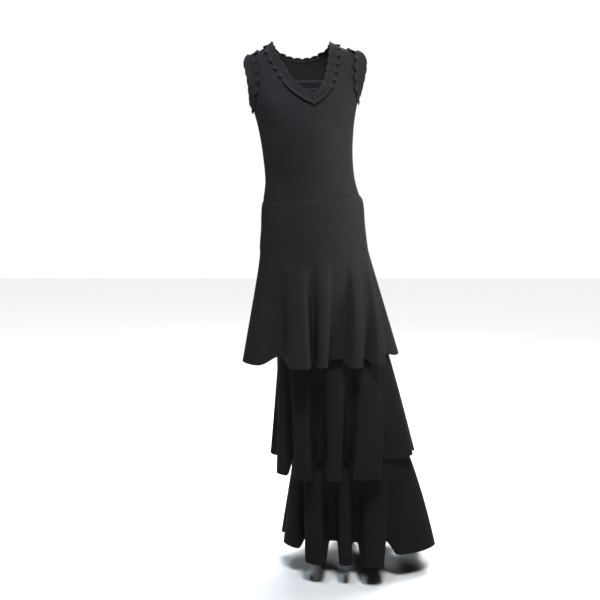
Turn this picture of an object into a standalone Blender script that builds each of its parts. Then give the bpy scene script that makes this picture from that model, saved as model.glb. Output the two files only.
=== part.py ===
"""Tiered rib-knit evening dress, hollow, in the shape it has when it is worn.

Metres, +Z up. The front faces -Y and +X is on the viewer's right. The origin is between the two
high points of the shoulders, where the neck trim crosses the shoulder seams.
"""
import bisect
import math
from collections import namedtuple

import bmesh
import bpy
from mathutils import Vector

# Cloth and seams
WALL = 0.002
SEAM_GAP = 0.0003
EDGE_STEP = 0.002
TRIM_CLEAR = 0.0009
TRIM_SEAM_GAP = 0.0009
UNDERSKIRT_CLEAR = 0.0008
WELD = 0.00002

# Steps for slopes of the tube: an angle and a height
SLOPE_TURN = math.radians(0.5)
SLOPE_STEP = 0.001

# Seam heights down the garment
WAIST_SEAM = -0.412
FLOUNCE_SEAM = -0.556
UNDERSKIRT_TOP = -0.549
UNDERSKIRT_HEM = -1.105

# The tube that the whole garment is cut on, from the neck to the underskirt's hem. The torso leans
# a little to -X, so a level of the garment rises towards +X by so much for each metre. A section
# is an oval, or a squarer one where its last value is over 2.
Section = namedtuple("Section", "height centre half_width front back rise square")
FORM = (
    Section(0.022, -0.004, 0.067, 0.030, 0.045, 0.00, 2.0),
    Section(0.000, -0.003, 0.077, 0.038, 0.056, 0.00, 2.0),
    Section(-0.016, 0.000, 0.109, 0.044, 0.066, 0.02, 2.2),
    Section(-0.036, 0.005, 0.148, 0.052, 0.078, 0.03, 2.4),
    Section(-0.075, 0.008, 0.155, 0.068, 0.089, 0.02, 2.4),
    Section(-0.150, 0.006, 0.145, 0.100, 0.097, 0.02, 2.3),
    Section(-0.190, 0.009, 0.135, 0.112, 0.095, 0.03, 2.2),
    Section(-0.235, 0.012, 0.127, 0.117, 0.089, 0.04, 2.1),
    Section(-0.300, 0.016, 0.121, 0.107, 0.078, 0.05, 2.1),
    Section(-0.360, 0.021, 0.121, 0.092, 0.073, 0.06, 2.1),
    Section(-0.404, 0.024, 0.129, 0.089, 0.081, 0.066, 2.1),
    Section(-0.430, 0.028, 0.138, 0.096, 0.094, 0.06, 2.1),
    Section(-0.490, 0.030, 0.142, 0.103, 0.113, 0.04, 2.1),
    Section(-0.556, 0.033, 0.148, 0.108, 0.121, 0.02, 2.0),
    Section(-0.700, 0.055, 0.149, 0.109, 0.119, 0.00, 2.0),
    Section(-0.820, 0.083, 0.146, 0.107, 0.113, 0.00, 2.0),
    Section(-0.980, 0.106, 0.146, 0.107, 0.111, 0.00, 2.0),
    Section(-1.130, 0.136, 0.150, 0.109, 0.113, 0.00, 2.0),
)

# Cut edge of the neck, from the shoulder seam down. It lies under the middle of the neck trim.
NeckRow = namedtuple("NeckRow", "height left right")
NECK_FRONT = (
    NeckRow(-0.005, -0.0873, 0.0827),
    NeckRow(-0.030, -0.0805, 0.0830),
    NeckRow(-0.060, -0.0630, 0.0795),
    NeckRow(-0.098, -0.0400, 0.0720),
    NeckRow(-0.121, -0.0210, 0.0620),
    NeckRow(-0.142, 0.0060, 0.0450),
    NeckRow(-0.153, 0.0280, 0.0280),
)
NECK_BACK = (
    NeckRow(-0.005, -0.0873, 0.0827),
    NeckRow(-0.016, -0.0820, 0.0800),
    NeckRow(-0.030, -0.0650, 0.0650),
    NeckRow(-0.042, -0.0370, 0.0400),
    NeckRow(-0.048, 0.0020, 0.0020),
)

# Armholes: ovals round the side of the tube, which is turned a little, so that the viewer sees more
# of the left one. Each has the angles by which it opens to the front and to the back.
ARMHOLE_TOP = -0.027
ARMHOLE_SQUARENESS = 0.8
Armhole = namedtuple("Armhole", "bottom front_open back_open")
ARMHOLE_LEFT = Armhole(-0.168, math.radians(31), math.radians(33))
ARMHOLE_RIGHT = Armhole(-0.150, math.radians(25), math.radians(36))

# Scalloped trim: two rows of petals with a groove between them
TRIM_HALF_WIDTH = 0.0105
PETAL_DEPTH = 0.0042
PETAL_LENGTH = 0.026
PETAL_LIFT = 0.0012
PETAL_PEAK = 0.6
PLAIN_STRETCH = 0.055
PLAIN_INNER = 0.5
PLAIN_OUTER = 0.7
MITRE_FAN = 0.028
MITRE_LIMIT = 2.0

# Armhole trim round the opening: its reach over the opening and over the cloth, and how far its free
# edge stands out. Turn 0 is the shoulder, 90 the front, 180 the underarm and 270 the back.
ArmholeRow = namedtuple("ArmholeRow", "turn inner outer flare")
ARMHOLE_TRIM = (
    ArmholeRow(0, 0.0115, 0.0125, 0.0050),
    ArmholeRow(50, 0.0130, 0.0135, 0.0100),
    ArmholeRow(100, 0.0120, 0.0125, 0.0075),
    ArmholeRow(150, 0.0090, 0.0100, 0.0030),
    ArmholeRow(180, 0.0080, 0.0090, 0.0020),
    ArmholeRow(210, 0.0090, 0.0100, 0.0030),
    ArmholeRow(270, 0.0120, 0.0120, 0.0060),
    ArmholeRow(360, 0.0115, 0.0125, 0.0050),
)

# Slim straps across the neck opening. Their ends lie under the neck trim.
STRAP_HALF_DEPTH = 0.0034
STRAP_END_INSET = 0.003
STRAP_OUT = 0.0004
Strap = namedtuple("Strap", "name height")
STRAPS = (
    Strap("strap_upper", -0.108),
    Strap("strap_lower", -0.129),
)

# Flounces: the hem's section at the bottom of the valleys, and one row for each fold. A fold's
# angle is round the tube from the front towards +X, its left and right are how far its flanks
# reach, out is its height above the valleys, lean pushes its crest sideways, full is how broad and
# flat its crest is, start is where it begins down the flounce, and drop is how much lower its hem
# hangs. A swing turns the cloth at an angle of the hem by so much at the seam, so that the folds
# there hang plumb while the skirt sweeps aside.
Flounce = namedtuple("Flounce", "name top ease hem flare folds swings")
Fold = namedtuple("Fold", "angle left right out lean full start drop")
Swing = namedtuple("Swing", "angle turn")
HEM_FULLNESS = 1.3
FOLD_GROWTH = 1.1
CREST_DOME = 0.3
UPPER_FOLDS = (
    Fold(-68, 32, 27, 0.042, 0.006, 1.4, 0.04, 0.023),
    Fold(-18, 19, 9, 0.058, 0.014, 1.6, 0.05, 0.017),
    Fold(-3, 6, 6, 0.044, 0.004, 1.7, 0.05, 0.015),
    Fold(21, 8, 7, 0.052, 0.004, 1.8, 0.04, 0.016),
    Fold(43, 10, 9, 0.036, 0.003, 1.5, 0.05, 0.015),
    Fold(84, 22, 24, 0.014, 0.002, 1.4, 0.06, 0.006),
    Fold(124, 15, 15, 0.036, -0.005, 1.5, 0.05, 0.014),
    Fold(152, 12, 14, 0.040, 0.004, 1.6, 0.08, 0.010),
    Fold(183, 16, 13, 0.052, -0.006, 1.6, 0.04, 0.014),
    Fold(210, 13, 12, 0.038, 0.003, 1.5, 0.10, 0.010),
    Fold(236, 14, 15, 0.044, 0.005, 1.5, 0.05, 0.014),
)
UPPER_SWINGS = (Swing(-90, 0), Swing(-50, 0), Swing(-18, -1), Swing(-3, 11), Swing(21, 25), Swing(43, 28),
                Swing(68, 13), Swing(90, 0))
MIDDLE_FOLDS = (
    Fold(-90, 16, 14, 0.001, 0.000, 1.8, 0.10, 0.024),
    Fold(-61, 15, 11, 0.029, 0.010, 1.8, 0.10, 0.048),
    Fold(-34, 16, 9, 0.060, 0.016, 1.9, 0.08, 0.042),
    Fold(-11, 9, 8, 0.058, 0.008, 1.9, 0.06, 0.038),
    Fold(13, 13, 17, 0.056, -0.004, 2.6, 0.05, 0.036),
    Fold(60, 22, 22, 0.008, 0.003, 1.5, 0.15, 0.003),
    Fold(98, 14, 14, 0.008, 0.002, 1.5, 0.08, 0.006),
    Fold(128, 16, 14, 0.034, 0.004, 1.6, 0.12, 0.028),
    Fold(157, 13, 15, 0.038, -0.004, 1.5, 0.10, 0.024),
    Fold(188, 15, 14, 0.050, 0.005, 1.7, 0.05, 0.032),
    Fold(218, 14, 15, 0.042, -0.004, 1.5, 0.08, 0.028),
    Fold(248, 14, 13, 0.036, 0.003, 1.6, 0.06, 0.026),
)
MIDDLE_SWINGS = (Swing(-90, 0), Swing(-61, -2), Swing(-33, 0), Swing(-11, 12), Swing(14, 28), Swing(40, 26),
                 Swing(66, 14), Swing(90, 0))
LOWER_FOLDS = (
    Fold(-66, 26, 15, 0.028, 0.006, 2.2, 0.08, 0.030),
    Fold(-37, 14, 10, 0.064, 0.016, 2.3, 0.10, 0.048),
    Fold(-14, 7, 6, 0.056, 0.006, 2.0, 0.12, 0.046),
    Fold(7, 12, 10, 0.062, 0.000, 2.3, 0.08, 0.050),
    Fold(48, 30, 46, 0.018, -0.002, 2.4, 0.20, 0.036),
    Fold(108, 12, 12, 0.014, 0.002, 1.6, 0.30, 0.020),
    Fold(128, 14, 14, 0.036, 0.004, 1.7, 0.20, 0.040),
    Fold(154, 13, 15, 0.036, -0.004, 1.5, 0.20, 0.030),
    Fold(187, 16, 14, 0.056, 0.005, 1.8, 0.10, 0.042),
    Fold(216, 14, 13, 0.040, 0.003, 1.5, 0.10, 0.034),
    Fold(246, 15, 16, 0.044, -0.004, 1.6, 0.08, 0.036),
)
LOWER_SWINGS = (Swing(-90, 0), Swing(-64, -5), Swing(-36, -6), Swing(-14, 5), Swing(7, 20), Swing(43, 23),
                Swing(70, 12), Swing(90, 0))
FLOUNCES = (
    Flounce("flounce_upper", FLOUNCE_SEAM - SEAM_GAP, 0.0,
            Section(-0.834, 0.062, 0.192, 0.136, 0.150, 0.0, 2.0), 1.0, UPPER_FOLDS, UPPER_SWINGS),
    Flounce("flounce_middle", -0.790, 0.0004,
            Section(-1.118, 0.123, 0.189, 0.122, 0.144, 0.0, 2.0), 0.9, MIDDLE_FOLDS, MIDDLE_SWINGS),
    Flounce("flounce_lower", -1.085, 0.0,
            Section(-1.348, 0.168, 0.200, 0.116, 0.150, 0.0, 2.0), 0.72, LOWER_FOLDS, LOWER_SWINGS),
)

# How finely each kind of piece is divided
PATH_STEPS = 90
PANEL_WIDTH = 0.18
PANEL_COLUMNS = 9
PANEL_UPPER_ROWS = 6
PANEL_LOWER_ROWS = 6
YOKE_COLUMNS = 16
YOKE_ROWS = 4
UNDERSKIRT_ROWS = 4
FLOUNCE_COLUMNS = 50
FLOUNCE_ROWS = (0.0, 0.18, 0.45, 0.72, 1.0)
HEM_SAMPLES = 720
NECK_PETAL_STEPS = 4
ARMHOLE_PETAL_STEPS = 3
STRAP_COLUMNS = 8

# Knit colours: linear colour and roughness
KNIT_BODICE = (0.012, 0.012, 0.013, 0.85)
KNIT_YOKE = (0.010, 0.010, 0.011, 0.88)
KNIT_FLOUNCE = (0.008, 0.009, 0.010, 0.90)
KNIT_TRIM = (0.014, 0.013, 0.015, 0.80)


def clear_scene():
    """Remove every object that the file starts with."""
    for old in list(bpy.data.objects):
        bpy.data.objects.remove(old, do_unlink=True)


def new_collection(name):
    """Make a collection for the garment's pieces."""
    collection = bpy.data.collections.new(name)
    bpy.context.scene.collection.children.link(collection)
    return collection


def knit_material(name, look):
    """Matt knit with the given colour and roughness."""
    material = bpy.data.materials.new(name)
    material.use_nodes = True
    shader = material.node_tree.nodes["Principled BSDF"]
    shader.inputs["Base Color"].default_value = (*look[:3], 1.0)
    shader.inputs["Roughness"].default_value = look[3]
    shader.inputs["Metallic"].default_value = 0.0
    return material


def mix(first, second, share):
    """Go from the first value to the second by a share from 0 to 1."""
    return first + (second - first) * share


def smooth_step(value):
    """Ease from 0 to 1."""
    value = min(max(value, 0.0), 1.0)
    return value * value * (3.0 - 2.0 * value)


def read_table(rows, at):
    """Read every column of a table smoothly at a value of its first column."""
    rows = sorted(rows)
    keys = [row[0] for row in rows]
    at = min(max(at, keys[0]), keys[-1])
    low = min(bisect.bisect_right(keys, at), len(rows) - 1) - 1
    before, after = max(low - 1, 0), min(low + 2, len(rows) - 1)
    span = keys[low + 1] - keys[low]
    share = (at - keys[low]) / span
    values = []
    for column in range(len(rows[0])):
        start, end = rows[low][column], rows[low + 1][column]
        slope_in = (end - rows[before][column]) / (keys[low + 1] - keys[before])
        slope_out = (rows[after][column] - start) / (keys[after] - keys[low])
        square, cube = share ** 2, share ** 3
        value = (2 * cube - 3 * square + 1) * start + (cube - 2 * square + share) * span * slope_in
        value += (3 * square - 2 * cube) * end + (cube - square) * span * slope_out
        values.append(value)
    return type(rows[0])(*values)


def squared(value, square):
    """Sine or cosine bent towards a squarer oval."""
    return math.copysign(abs(value) ** (2.0 / square), value)


def ring_point(section, angle):
    """Point at an angle round an oval section, 0 at the front and 90 degrees at +X."""
    depth = section.front if math.cos(angle) > 0 else section.back
    aside = section.half_width * squared(math.sin(angle), section.square)
    ahead = depth * squared(math.cos(angle), section.square)
    return Vector((section.centre + aside, -ahead, section.height + section.rise * aside))


def form_normal(angle, height):
    """Outward direction of the tube."""
    above = ring_point(read_table(FORM, height + SLOPE_STEP), angle)
    below = ring_point(read_table(FORM, height - SLOPE_STEP), angle)
    section = read_table(FORM, height)
    along = ring_point(section, angle + SLOPE_TURN) - ring_point(section, angle - SLOPE_TURN)
    return (below - above).cross(along).normalized()


def form_point(angle, height, out=0.0):
    """Point of the tube at an angle and a height, moved out by a distance."""
    point = ring_point(read_table(FORM, height), angle)
    if out:
        point += form_normal(angle, height) * out
    return point


def angle_at(x, height, back=False):
    """Angle round the tube of a point that is at x, seen from the front or from the back."""
    section = read_table(FORM, height)
    ratio = min(max((x - section.centre) / section.half_width, -1.0), 1.0)
    angle = math.asin(math.copysign(abs(ratio) ** (0.5 * section.square), ratio))
    return math.pi - angle if back else angle


def seam_inset(section, depth):
    """Angle by which a piece is drawn back from the side seam, for half the gap there."""
    return (0.5 * SEAM_GAP / depth) ** (0.5 * section.square)


def neck_edge(table, side, share):
    """Angle and height of the neck's cut edge, from the shoulder (0) to the centre (1)."""
    back = table is NECK_BACK
    height = mix(table[0].height, table[-1].height, share)
    row = read_table(table, height)
    x = row.right if side > 0 else row.left
    angle = angle_at(x, height, back)
    if back and side < 0:
        angle = angle if angle > math.pi else 2 * math.pi - angle
    return angle, height


def armhole_edge(side, turn):
    """Angle and height of the armhole's edge: turn 0 at the shoulder, then front, underarm, back."""
    armhole = ARMHOLE_LEFT if side < 0 else ARMHOLE_RIGHT
    wave = math.sin(turn)
    reach = abs(wave) ** ARMHOLE_SQUARENESS
    if wave > 0:
        angle = math.pi / 2 - armhole.front_open * reach
    else:
        angle = math.pi / 2 + armhole.back_open * reach
    middle = 0.5 * (ARMHOLE_TOP + armhole.bottom)
    height = middle + 0.5 * (ARMHOLE_TOP - armhole.bottom) * math.cos(turn)
    return side * angle, height


def add_cloth(collection, name, grids, material):
    """Make a piece of cloth from grids of points, given outside up, with its wall inwards."""
    mesh = bmesh.new()
    for grid in grids:
        verts = [[mesh.verts.new(point) for point in row] for row in grid]
        for upper, lower in zip(verts, verts[1:]):
            for i in range(len(upper) - 1):
                mesh.faces.new((upper[i], lower[i], lower[i + 1], upper[i + 1]))
    bmesh.ops.remove_doubles(mesh, verts=mesh.verts, dist=WELD)
    data = bpy.data.meshes.new(name)
    mesh.to_mesh(data)
    mesh.free()
    piece = bpy.data.objects.new(name, data)
    collection.objects.link(piece)
    data.materials.append(material)
    data.shade_smooth()
    split = piece.modifiers.new("Triangles", "TRIANGULATE")
    split.quad_method = "FIXED"
    shell = piece.modifiers.new("Wall", "SOLIDIFY")
    shell.thickness = WALL
    shell.offset = -1.0
    return piece


def with_edge_steps(shares, length):
    """Add a narrow step beside each end of a list of shares, so that a wall's edge stays square."""
    step = EDGE_STEP / length
    return [shares[0], shares[0] + step, *shares[1:-1], shares[-1] - step, shares[-1]]


def even_shares(count):
    """Evenly spaced shares from 0 to 1."""
    return [i / count for i in range(count + 1)]


def along_path(path, distances_from):
    """Places on a path of angles and heights, at distances that a function gives for its length."""
    points = [form_point(*place) for place in path]
    lengths = [0.0]
    for start, end in zip(points, points[1:]):
        lengths.append(lengths[-1] + (end - start).length)
    placed = []
    for at in distances_from(lengths[-1]):
        i = min(max(bisect.bisect_left(lengths, at), 1), len(path) - 1)
        part = (at - lengths[i - 1]) / (lengths[i] - lengths[i - 1])
        angle = mix(path[i - 1][0], path[i][0], part)
        placed.append((angle, mix(path[i - 1][1], path[i][1], part), at))
    return placed


def neck_path(table, side):
    """Fine path down one side of the neck, from the shoulder to the centre."""
    return [neck_edge(table, side, share ** 2) for share in even_shares(PATH_STEPS)]


def armhole_path(back, side):
    """Fine path down one side of the armhole, from the shoulder to the underarm."""
    path = []
    for share in even_shares(PATH_STEPS):
        turn = 2 * math.pi - math.pi * share if back else math.pi * share
        angle, height = armhole_edge(side, turn)
        path.append((angle + 2 * math.pi if back and side < 0 else angle, height))
    return path


def panel_half(table, side):
    """Grid of one half of the front or back bodice, from the shoulder seam to the waist seam."""
    back = table is NECK_BACK

    def upper_distances(length):
        step = EDGE_STEP / length
        return [length * share for share in (0.0, step, *even_shares(PANEL_UPPER_ROWS)[1:])]

    neck = along_path(neck_path(table, side), upper_distances)
    armhole = along_path(armhole_path(back, side), upper_distances)
    rows = [(inner[:2], outer[:2]) for inner, outer in zip(neck, armhole)]
    (middle_angle, middle_height), (side_angle, underarm_height) = rows[-1]
    centre_angle = math.pi if back else 0.0
    for share in with_edge_steps(even_shares(PANEL_LOWER_ROWS), ARMHOLE_LEFT.bottom - WAIST_SEAM)[2:]:
        inner = (mix(middle_angle, centre_angle, share), mix(middle_height, WAIST_SEAM, share))
        rows.append((inner, (side_angle, mix(underarm_height, WAIST_SEAM, share))))
    across = even_shares(PANEL_COLUMNS)
    across = across[:-1] + [1.0 - EDGE_STEP / PANEL_WIDTH, 1.0]
    grid = []
    for (inner_angle, inner_height), (outer_angle, outer_height) in rows:
        line = []
        for share in across:
            height = mix(inner_height, outer_height, share)
            section = read_table(FORM, height)
            depth = section.back if back else section.front
            limit = math.pi / 2 - seam_inset(section, depth)
            middle = math.pi if back else 0.0
            angle = mix(inner_angle, outer_angle, share)
            line.append(form_point(min(max(angle, middle - limit), middle + limit), height))
        rightward = (side > 0) != back
        grid.append(line if rightward else line[::-1])
    return grid


def make_bodice(collection):
    """Front and back of the bodice, each cut in one piece with its neck and armholes open."""
    material = knit_material("bodice_knit", KNIT_BODICE)
    for name, table in (("bodice_front", NECK_FRONT), ("bodice_back", NECK_BACK)):
        add_cloth(collection, name, [panel_half(table, -1), panel_half(table, 1)], material)


def tube_grid(top, bottom, rows, columns, back, out=0.0):
    """Grid of the front or back half of a plain stretch of the tube."""
    heights = [mix(top, bottom, share) for share in with_edge_steps(even_shares(rows), top - bottom)]
    grid = []
    for height in heights:
        section = read_table(FORM, height)
        depth = section.back if back else section.front
        limit = math.pi / 2 - seam_inset(section, depth + out)
        middle = math.pi if back else 0.0
        shares = with_edge_steps(even_shares(columns), math.pi * section.half_width)
        angles = [middle + mix(-limit, limit, share) for share in shares]
        grid.append([form_point(angle, height, out) for angle in angles])
    return grid


def make_yoke(collection):
    """Hip yoke between the waist seam and the upper flounce."""
    material = knit_material("yoke_knit", KNIT_YOKE)
    top = WAIST_SEAM - SEAM_GAP
    for name, back in (("yoke_front", False), ("yoke_back", True)):
        grid = tube_grid(top, FLOUNCE_SEAM, YOKE_ROWS, YOKE_COLUMNS, back)
        add_cloth(collection, name, [grid], material)


def make_underskirt(collection):
    """Plain tube inside the yoke's edge that carries the middle and the lower flounce."""
    material = knit_material("underskirt_knit", KNIT_FLOUNCE)
    inset = -(WALL + UNDERSKIRT_CLEAR)
    for name, back in (("underskirt_front", False), ("underskirt_back", True)):
        grid = tube_grid(UNDERSKIRT_TOP, UNDERSKIRT_HEM, UNDERSKIRT_ROWS, YOKE_COLUMNS, back, inset)
        add_cloth(collection, name, [grid], material)


def fold_near(fold, angle):
    """How near an angle is to a fold's middle: 1 there and 0 at the feet of its flanks."""
    away = (math.degrees(angle) - fold.angle + 180) % 360 - 180
    reach = fold.right if away > 0 else fold.left
    return max(1.0 - abs(away) / reach, 0.0)


def swung(flounce, angle, down):
    """Angle turned above the hem, so that the folds hang plumb while the skirt sweeps aside."""
    turn = read_table(flounce.swings, (math.degrees(angle) + 180) % 360 - 180).turn
    return angle + math.radians(turn) * (1.0 - down)


def flounce_point(flounce, angle, down):
    """Point of a flounce at an angle, from its seam (0) to its hem (1)."""
    seam = read_table(FORM, flounce.top)
    seam = seam._replace(half_width=seam.half_width + flounce.ease, front=seam.front + flounce.ease,
                         back=seam.back + flounce.ease)
    spread = down ** flounce.flare
    widths = [mix(a, b, spread) for a, b in zip(seam[1:], flounce.hem[1:])]
    section = Section(mix(flounce.top, flounce.hem.height, down), *widths)
    turned = swung(flounce, angle, down)
    point = ring_point(section, turned)
    depth = section.front if math.cos(turned) > 0 else section.back
    outward = Vector((math.sin(turned) / section.half_width, -math.cos(turned) / depth, 0.0))
    outward.normalize()
    sideways = Vector((-outward.y, outward.x, 0.0))
    for fold in flounce.folds:
        near = fold_near(fold, angle)
        if near > 0:
            grown = (max(down - fold.start, 0.0) / (1.0 - fold.start)) ** FOLD_GROWTH
            grown *= smooth_step(fold.full * near) * (1.0 - CREST_DOME * (1.0 - near) ** 2)
            point += outward * fold.out * grown + sideways * fold.lean * grown
            point.z -= fold.drop * smooth_step(HEM_FULLNESS * fold.full * near) * down ** 2
    return point


def even_angles(flounce, first, last, count):
    """Angles that divide a stretch of the hem evenly along the cloth."""
    fine = [mix(first, last, share) for share in even_shares(HEM_SAMPLES)]
    points = [flounce_point(flounce, angle, 1.0) for angle in fine]
    lengths = [0.0]
    for start, end in zip(points, points[1:]):
        lengths.append(lengths[-1] + (end - start).length)
    angles = []
    for share in with_edge_steps(even_shares(count), lengths[-1]):
        at = share * lengths[-1]
        i = min(max(bisect.bisect_left(lengths, at), 1), HEM_SAMPLES)
        part = (at - lengths[i - 1]) / (lengths[i] - lengths[i - 1])
        angles.append(mix(fine[i - 1], fine[i], part))
    return angles


def make_flounces(collection):
    """Three flounces in a front and a back piece each, in flutes that deepen to the hem."""
    material = knit_material("flounce_knit", KNIT_FLOUNCE)
    for flounce in FLOUNCES:
        length = flounce.top - flounce.hem.height
        for word, middle in (("front", 0.0), ("back", math.pi)):
            inset = 0.5 * SEAM_GAP / flounce.hem.front
            first, last = middle - math.pi / 2 + inset, middle + math.pi / 2 - inset
            angles = even_angles(flounce, first, last, FLOUNCE_COLUMNS)
            rows = [FLOUNCE_ROWS[0], EDGE_STEP / length, *FLOUNCE_ROWS[1:]]
            grid = [[flounce_point(flounce, angle, down) for angle in angles] for down in rows]
            add_cloth(collection, flounce.name + "_" + word, [grid], material)


def evenly_along(path, inset, count):
    """Places spaced evenly along a path, drawn in from both of its ends."""
    def distances(length):
        return [mix(inset, length - inset, share) for share in even_shares(count)]

    return along_path(path, distances)


def path_length(path):
    """Length of a path on the tube."""
    return along_path(path, lambda length: [length])[0][2]


def across_step(angle, height, direction):
    """Change of angle and height for each metre along a direction in the tube's surface."""
    ahead, behind = form_point(angle + SLOPE_TURN, height), form_point(angle - SLOPE_TURN, height)
    above, below = form_point(angle, height + SLOPE_STEP), form_point(angle, height - SLOPE_STEP)
    by_angle = (ahead - behind) / (2 * SLOPE_TURN)
    by_height = (above - below) / (2 * SLOPE_STEP)
    a, b, c = by_angle.dot(by_angle), by_angle.dot(by_height), by_height.dot(by_height)
    d, e = direction.dot(by_angle), direction.dot(by_height)
    scale = a * c - b * b
    return (d * c - b * e) / scale, (a * e - b * d) / scale


def petal(phase):
    """Reach of a petal that widens slowly along its length and is cut back at its end."""
    if phase < PETAL_PEAK:
        return phase / PETAL_PEAK
    return (1.0 - phase) / (1.0 - PETAL_PEAK)


def trim_grid(places, directions, strengths, steps, reaches):
    """Grid of a trim: its edge at the opening, its groove, and its edge on the cloth."""
    rows = [[], [], []]
    for i, (angle, height, _) in enumerate(places):
        phase = (i % steps) / steps
        strength = strengths[i]
        direction, widen = directions[i]
        inner, outer, flare = reaches[i]
        inner += PETAL_DEPTH * mix(PLAIN_INNER, 4 * phase * (1 - phase), strength)
        outer += PETAL_DEPTH * mix(PLAIN_OUTER, petal(phase), strength)
        turn, rise = across_step(angle, height, direction)
        base = TRIM_CLEAR + WALL
        for row, reach, lift in ((0, -inner, flare), (1, 0.0, 0.0), (2, outer, PETAL_LIFT)):
            reach *= widen
            rows[row].append(form_point(angle + turn * reach, height + rise * reach, base + lift))
    return rows


def across_directions(places, closed):
    """Direction across the trim at each place, away from the opening, with a widening of 1."""
    points = [form_point(angle, height) for angle, height, _ in places]
    last = len(points) - 1
    found = []
    for i, (angle, height, _) in enumerate(places):
        if closed:
            before, after = points[i - 1 if i > 0 else last - 1], points[i + 1 if i < last else 1]
        else:
            before, after = points[max(i - 1, 0)], points[min(i + 1, last)]
        along = (after - before).normalized()
        found.append((along.cross(form_normal(angle, height)).normalized(), 1.0))
    return found


def mitred(direction, plane, away, fan):
    """Direction across the trim, turned into a seam's plane beside the seam, and its widening there."""
    share = 1.0 - smooth_step(away / fan)
    turned = (direction - plane * direction.dot(plane) * share).normalized()
    return turned, min(1.0 / turned.dot(direction), MITRE_LIMIT)


def make_neck_trim(collection, material):
    """Neck trim in three pieces, mitred at the centre front and joined at the shoulders."""
    left = neck_path(NECK_FRONT, -1)
    right = neck_path(NECK_FRONT, 1)[::-1]
    back = neck_path(NECK_BACK, 1) + neck_path(NECK_BACK, -1)[-2::-1]
    half_gap = 0.5 * TRIM_SEAM_GAP
    shoulder, centre = Vector((0.0, 1.0, 0.0)), Vector((1.0, 0.0, 0.0))
    for name, path, first_seam, last_seam in (("neck_trim_left", left, shoulder, centre),
                                              ("neck_trim_right", right, centre, shoulder),
                                              ("neck_trim_back", back, shoulder, shoulder)):
        length = path_length(path)
        count = round(length / PETAL_LENGTH) * NECK_PETAL_STEPS
        places = evenly_along(path, half_gap, count)
        directions = across_directions(places, False)
        for i, (_, _, at) in enumerate(places):
            if first_seam is centre or i == 0:
                directions[i] = mitred(directions[i][0], first_seam, at - places[0][2], MITRE_FAN)
            if last_seam is centre or i == count:
                directions[i] = mitred(directions[i][0], last_seam, places[-1][2] - at, MITRE_FAN)
        strengths = [1.0] * (count + 1)
        if first_seam is centre:
            strengths = [smooth_step(place[2] / PLAIN_STRETCH) for place in places]
        if last_seam is centre:
            strengths = [smooth_step((length - place[2]) / PLAIN_STRETCH) for place in places]
        reaches = [(TRIM_HALF_WIDTH, TRIM_HALF_WIDTH, PETAL_LIFT)] * (count + 1)
        grid = trim_grid(places, directions, strengths, NECK_PETAL_STEPS, reaches)
        add_cloth(collection, name, [grid], material)


def make_armhole_trims(collection, material):
    """A scalloped ring round each armhole."""
    for name, side in (("armhole_trim_left", -1), ("armhole_trim_right", 1)):
        path = [armhole_edge(side, side * 2 * math.pi * share) for share in even_shares(2 * PATH_STEPS)]
        count = round(path_length(path) / PETAL_LENGTH) * ARMHOLE_PETAL_STEPS
        places = evenly_along(path, 0.0, count)
        directions = across_directions(places, True)
        strengths = [1.0] * (count + 1)
        turns = [side * 360.0 * place[2] / places[-1][2] % 360.0 for place in places]
        rows = [read_table(ARMHOLE_TRIM, turn) for turn in turns]
        reaches = [(row.inner, row.outer, row.flare) for row in rows]
        grid = trim_grid(places, directions, strengths, ARMHOLE_PETAL_STEPS, reaches)
        add_cloth(collection, name, [grid], material)


def make_straps(collection, material):
    """Two slim straps across the neck, held under the neck trim at both ends."""
    for strap in STRAPS:
        grid = []
        for height in (strap.height + STRAP_HALF_DEPTH, strap.height - STRAP_HALF_DEPTH):
            row = read_table(NECK_FRONT, height)
            left, right = row.left + STRAP_END_INSET, row.right - STRAP_END_INSET
            places = [mix(left, right, share) for share in even_shares(STRAP_COLUMNS)]
            grid.append([form_point(angle_at(x, height), height, STRAP_OUT) for x in places])
        add_cloth(collection, strap.name, [grid], material)


def build():
    """Make the whole dress."""
    clear_scene()
    dress = new_collection("tiered_knit_dress")
    make_bodice(dress)
    make_yoke(dress)
    make_underskirt(dress)
    make_flounces(dress)
    trim = knit_material("trim_knit", KNIT_TRIM)
    make_neck_trim(dress, trim)
    make_armhole_trims(dress, trim)
    make_straps(dress, trim)


build()
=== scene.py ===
"""Looks of the tiered rib-knit dress: knit shells, scalloped trims, seams, light and camera.

Metres, +Z up. The front faces -Y and +X is on the viewer's right. Every shell lies on the form of the
solid that it replaces, so the tables of sections and folds are the part's own. Only the gaps at the side
seams and above the upper flounce are narrower here, so that no light shows through them.
"""
import math
from collections import namedtuple

import bmesh
import bpy
import numpy
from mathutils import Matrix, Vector


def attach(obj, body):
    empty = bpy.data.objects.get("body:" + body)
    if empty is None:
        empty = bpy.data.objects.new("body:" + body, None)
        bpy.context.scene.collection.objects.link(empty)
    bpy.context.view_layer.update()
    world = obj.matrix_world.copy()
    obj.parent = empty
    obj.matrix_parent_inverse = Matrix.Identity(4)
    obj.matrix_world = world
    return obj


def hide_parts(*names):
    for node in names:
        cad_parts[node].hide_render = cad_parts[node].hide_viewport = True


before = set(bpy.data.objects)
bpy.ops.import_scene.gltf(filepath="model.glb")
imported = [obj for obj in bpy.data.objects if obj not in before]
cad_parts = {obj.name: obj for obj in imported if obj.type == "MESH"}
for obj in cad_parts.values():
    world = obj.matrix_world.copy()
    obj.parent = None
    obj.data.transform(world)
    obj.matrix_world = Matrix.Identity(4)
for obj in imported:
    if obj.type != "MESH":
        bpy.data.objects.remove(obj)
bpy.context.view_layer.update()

# Camera and floor, as the photo sees them
CAMERA_PLACE = (-0.0055, -2.8, -0.305)
CAMERA_DIP = math.radians(7.9)
FOCAL_PIXELS = 1022
FRAME_PIXELS = 600
SENSOR = 36.0
FLOOR_HEIGHT = -1.455
FLOOR_SIZE = 14.0
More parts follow.
